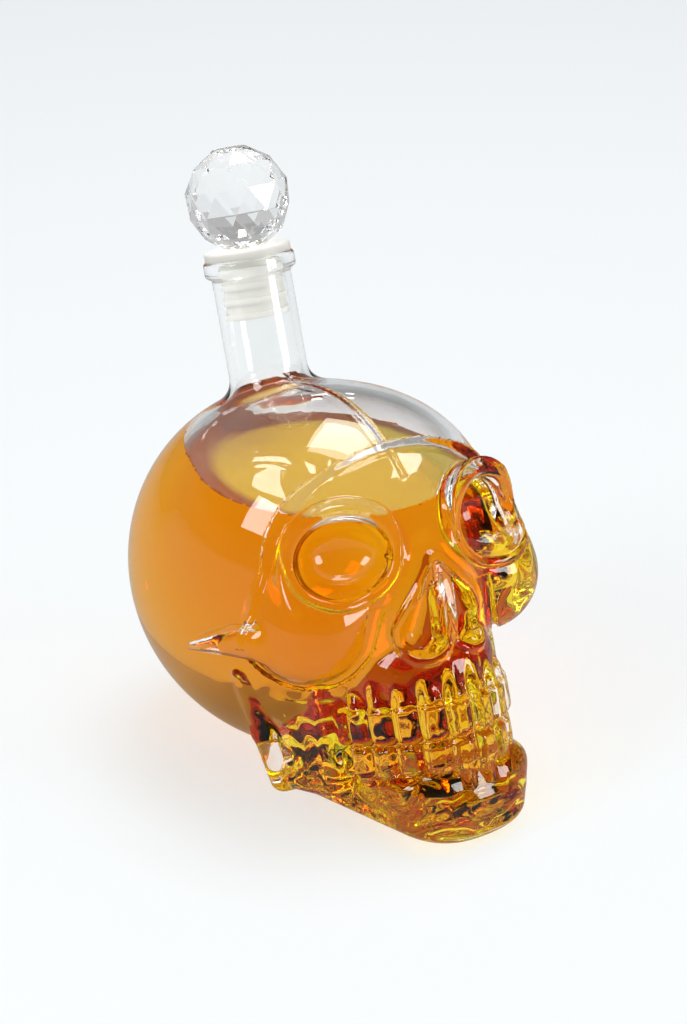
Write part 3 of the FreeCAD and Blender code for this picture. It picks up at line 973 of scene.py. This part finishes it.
def table():
    bpy.ops.object.select_all(action="DESELECT")
    bpy.ops.mesh.primitive_plane_add(size=TABLE_SIZE, location=(0, 0, -TABLE_GAP))
    top = bpy.context.object
    top.name = "studio_table"
    dress(top, table_paper())


def room():
    """A world that lights evenly, mirrors as a dim room and is pale through glass, but for a doorway."""
    world = bpy.data.worlds.new("studio_room")
    bpy.context.scene.world = world
    world.use_nodes = True
    nodes, links = world.node_tree.nodes, world.node_tree.links
    way = nodes.new("ShaderNodeTexCoord")
    parts = nodes.new("ShaderNodeSeparateXYZ")
    ramp = nodes.new("ShaderNodeValToRGB")
    band, dim = ramp.color_ramp.elements
    band.position, band.color = ROOM_BAND_TOP, grey(ROOM_BAND)
    dim.position, dim.color = ROOM_DIM_FROM, grey(ROOM_DIM)
    behind = nodes.new("ShaderNodeVectorMath")
    behind.operation = "DOT_PRODUCT"
    behind.inputs[1].default_value = DARK_DOORWAY
    doorway = nodes.new("ShaderNodeMapRange")
    doorway.inputs["From Min"].default_value, doorway.inputs["From Max"].default_value = DOORWAY_EDGE
    doorway.inputs["To Min"].default_value = ROOM_THROUGH_GLASS
    doorway.inputs["To Max"].default_value = DOORWAY_LIGHT
    path = nodes.new("ShaderNodeLightPath")
    through = nodes.new("ShaderNodeMix")
    through.data_type = "RGBA"
    choice = nodes.new("ShaderNodeMix")
    choice.data_type = "RGBA"
    choice.inputs["A"].default_value = grey(ROOM_LIGHT)
    links.new(way.outputs["Generated"], parts.inputs["Vector"])
    links.new(parts.outputs["Z"], ramp.inputs["Fac"])
    links.new(ramp.outputs["Color"], through.inputs["A"])
    links.new(way.outputs["Generated"], behind.inputs[0])
    links.new(behind.outputs["Value"], doorway.inputs["Value"])
    links.new(doorway.outputs["Result"], through.inputs["B"])
    links.new(path.outputs["Is Transmission Ray"], through.inputs["Factor"])
    links.new(through.outputs["Result"], choice.inputs["B"])
    links.new(seen_or_mirrored(nodes, links, mirrored=1.0), choice.inputs["Factor"])
    links.new(choice.outputs["Result"], nodes["Background"].inputs["Color"])


def softbox(name, place, size, power):
    light = bpy.data.lights.new(name, "AREA")
    light.shape = "RECTANGLE"
    light.size, light.size_y = size
    light.energy = power
    lamp = bpy.data.objects.new(name, light)
    bpy.context.scene.collection.objects.link(lamp)
    lamp.location = place
    lamp.rotation_euler = (Vector(LAMPS_AIM) - Vector(place)).to_track_quat("-Z", "Y").to_euler()


table()
room()
softbox("softbox_front", place=(0.6, -0.95, 0.35), size=(0.3, 0.45), power=4.0)
softbox("softbox_left", place=(-1.0, 0.0, 0.7), size=(0.4, 0.5), power=6.0)
softbox("softbox_above", place=(0.3, 0.2, 1.2), size=(0.6, 0.6), power=8.0)
softbox("window_left", place=(0.58, 0.98, 0.585), size=(0.1, 0.065), power=0.1)
softbox("window_right", place=(0.72, 0.88, 0.56), size=(0.05, 0.06), power=0.05)

# Camera: the photograph's angle, in millimetres and in pixels of its frame
AZIMUTH = math.radians(-35.0)
ELEVATION = math.radians(24.5)
DISTANCE = 900.0
MM_PER_PIXEL = 0.285
FRAME_SIZE = (687, 1024)
CRANIUM_PIXEL = (313, 563)
SENSOR = 36.0
NEAREST = 10.0


def camera_at_photo_angle():
    right = Vector((math.cos(AZIMUTH), math.sin(AZIMUTH), 0))
    level = Vector((math.sin(AZIMUTH), -math.cos(AZIMUTH), 0))
    back = level * math.cos(ELEVATION) + Vector((0, 0, math.sin(ELEVATION)))
    up = back.cross(right)
    aim = Vector((0, CENTRE_SHIFT, STAND_HEIGHT))
    aim += right * ((FRAME_SIZE[0] / 2 - CRANIUM_PIXEL[0]) * MM_PER_PIXEL)
    aim -= up * ((FRAME_SIZE[1] / 2 - CRANIUM_PIXEL[1]) * MM_PER_PIXEL)
    lens = bpy.data.cameras.new("camera")
    lens.sensor_width = SENSOR
    lens.lens = DISTANCE / MM_PER_PIXEL * SENSOR / FRAME_SIZE[1]
    lens.clip_start = NEAREST * MM
    camera = bpy.data.objects.new("camera", lens)
    bpy.context.scene.collection.objects.link(camera)
    turn = Matrix((right, up, back)).transposed()
    camera.matrix_world = Matrix.Translation((aim + back * DISTANCE) * MM) @ turn.to_4x4()
    bpy.context.scene.camera = camera


camera_at_photo_angle()
scene = bpy.context.scene
scene.view_settings.view_transform = "Standard"
scene.cycles.max_bounces = 32
scene.cycles.transmission_bounces = 32
scene.cycles.glossy_bounces = 16
scene.cycles.transparent_max_bounces = 16
scene.cycles.use_denoising = True
